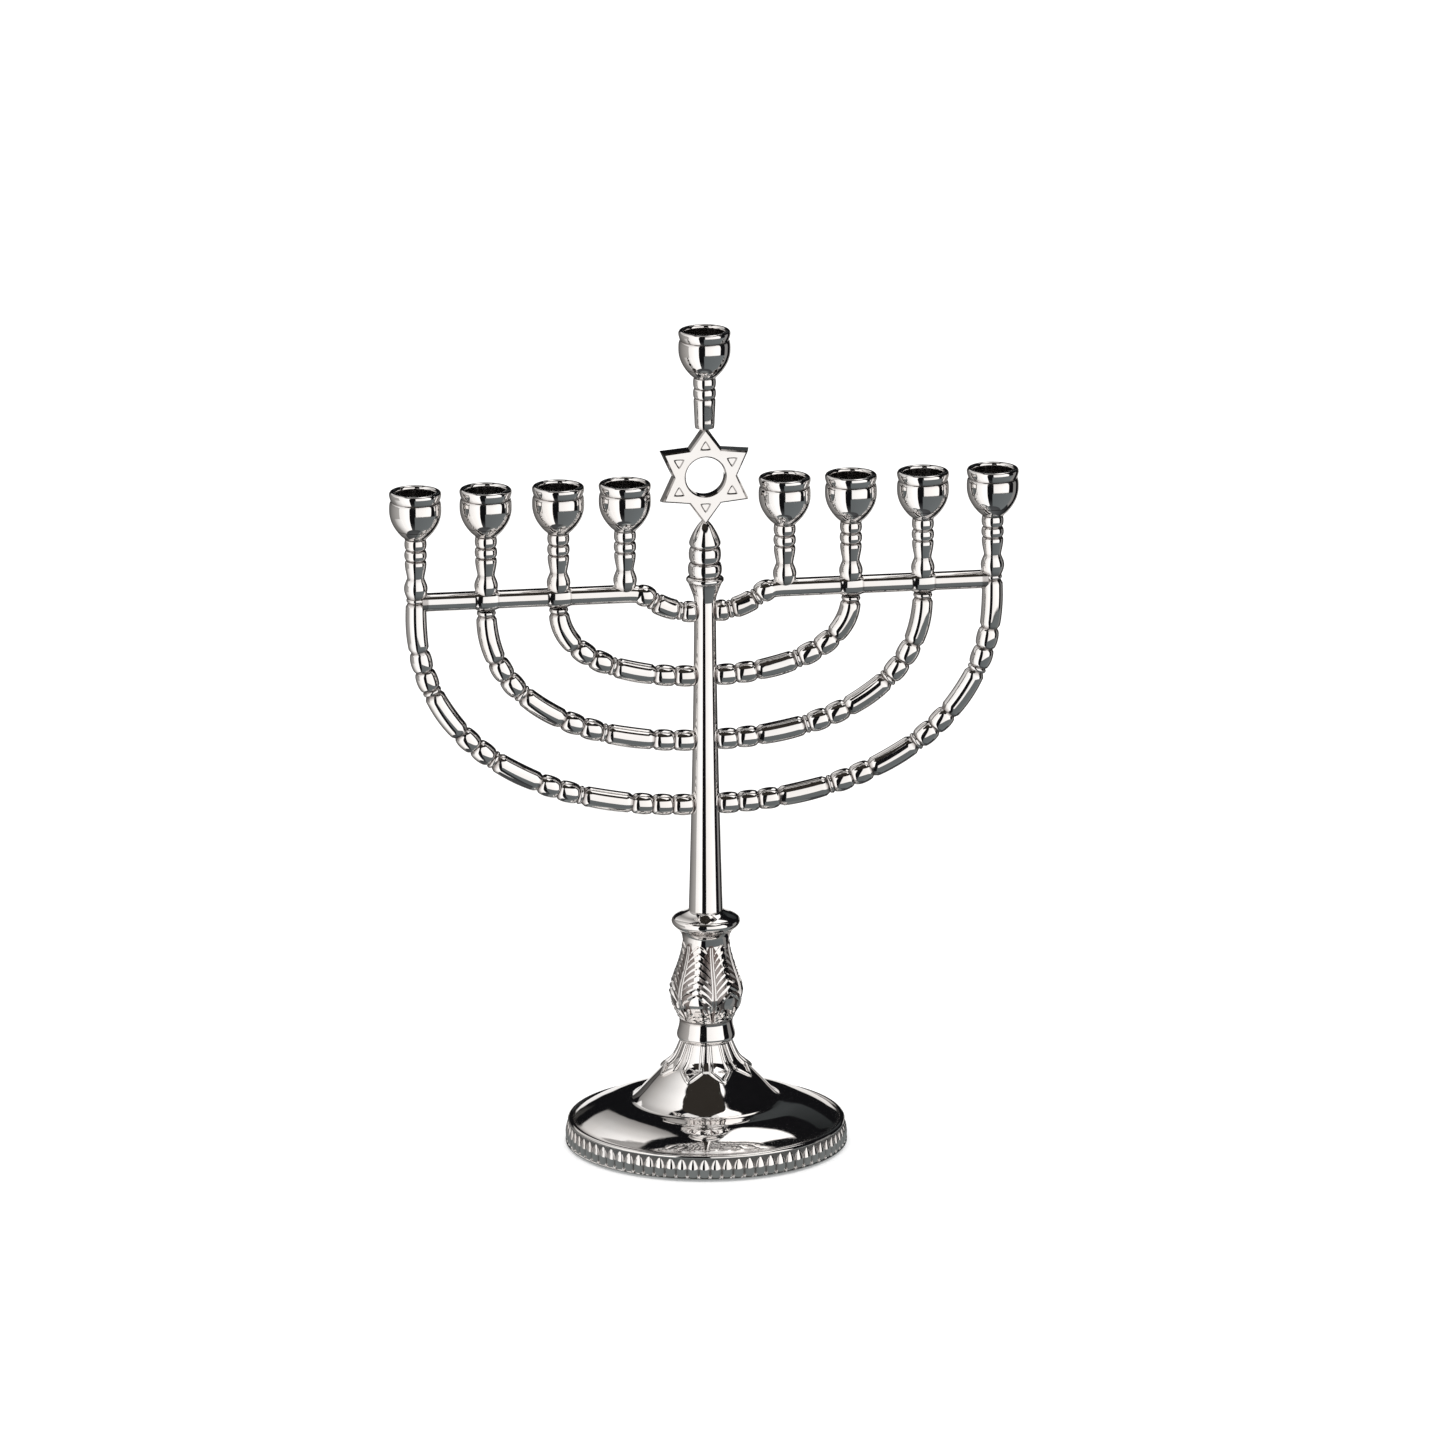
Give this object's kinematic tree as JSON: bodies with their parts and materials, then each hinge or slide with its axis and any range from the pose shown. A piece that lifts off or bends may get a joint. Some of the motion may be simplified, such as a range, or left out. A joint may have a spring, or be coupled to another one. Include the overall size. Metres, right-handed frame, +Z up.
{
  "type": "menorah",
  "caption": "Branched table menorah: a round lobed foot, turned column, curved beaded arms with a crossbar on each side, candle cups in a row and a raised middle cup over a pierced star.",
  "frame": {"origin": "on the column's axis, in the plane that the foot's felt pad rests on", "axes": "+Z up along the column; X along the row of arms, +X to the right of a viewer who faces the front; the front faces -Y"},
  "size_m": [0.1732, 0.0776, 0.23],
  "materials": {
    "nickel_plate": "bright nickel plate, mirror polished",
    "steel": "zinc plated steel",
    "felt": "dark green pressed felt"
  },
  "bodies": {
    "foot": {"base": "nickel_plate", "felt_pad": "felt"},
    "head": {"neck_ring": "nickel_plate", "baluster": "nickel_plate", "stem": "nickel_plate", "stem_crown": "nickel_plate", "finial": "nickel_plate", "star": "nickel_plate", "shamash_shank": "nickel_plate", "shamash_cup": "nickel_plate", "left_arm_1": "nickel_plate", "left_shank_1": "nickel_plate", "left_cup_1": "nickel_plate", "left_arm_2": "nickel_plate", "left_shank_2": "nickel_plate", "left_cup_2": "nickel_plate", "left_arm_3": "nickel_plate", "left_shank_3": "nickel_plate", "left_cup_3": "nickel_plate", "left_arm_4": "nickel_plate", "left_shank_4": "nickel_plate", "left_cup_4": "nickel_plate", "left_crossbar": "nickel_plate", "right_arm_1": "nickel_plate", "right_shank_1": "nickel_plate", "right_cup_1": "nickel_plate", "right_arm_2": "nickel_plate", "right_shank_2": "nickel_plate", "right_cup_2": "nickel_plate", "right_arm_3": "nickel_plate", "right_shank_3": "nickel_plate", "right_cup_3": "nickel_plate", "right_arm_4": "nickel_plate", "right_shank_4": "nickel_plate", "right_cup_4": "nickel_plate", "right_crossbar": "nickel_plate", "tie_rod": "steel", "washer": "steel", "nut": "steel"}
  },
  "joints": [
    {"name": "head_turn", "type": "hinge", "parent": "foot", "child": "head", "pos_m": [0, 0, 0.029], "axis": [0, 0, 1], "continuous": true}
  ]
}
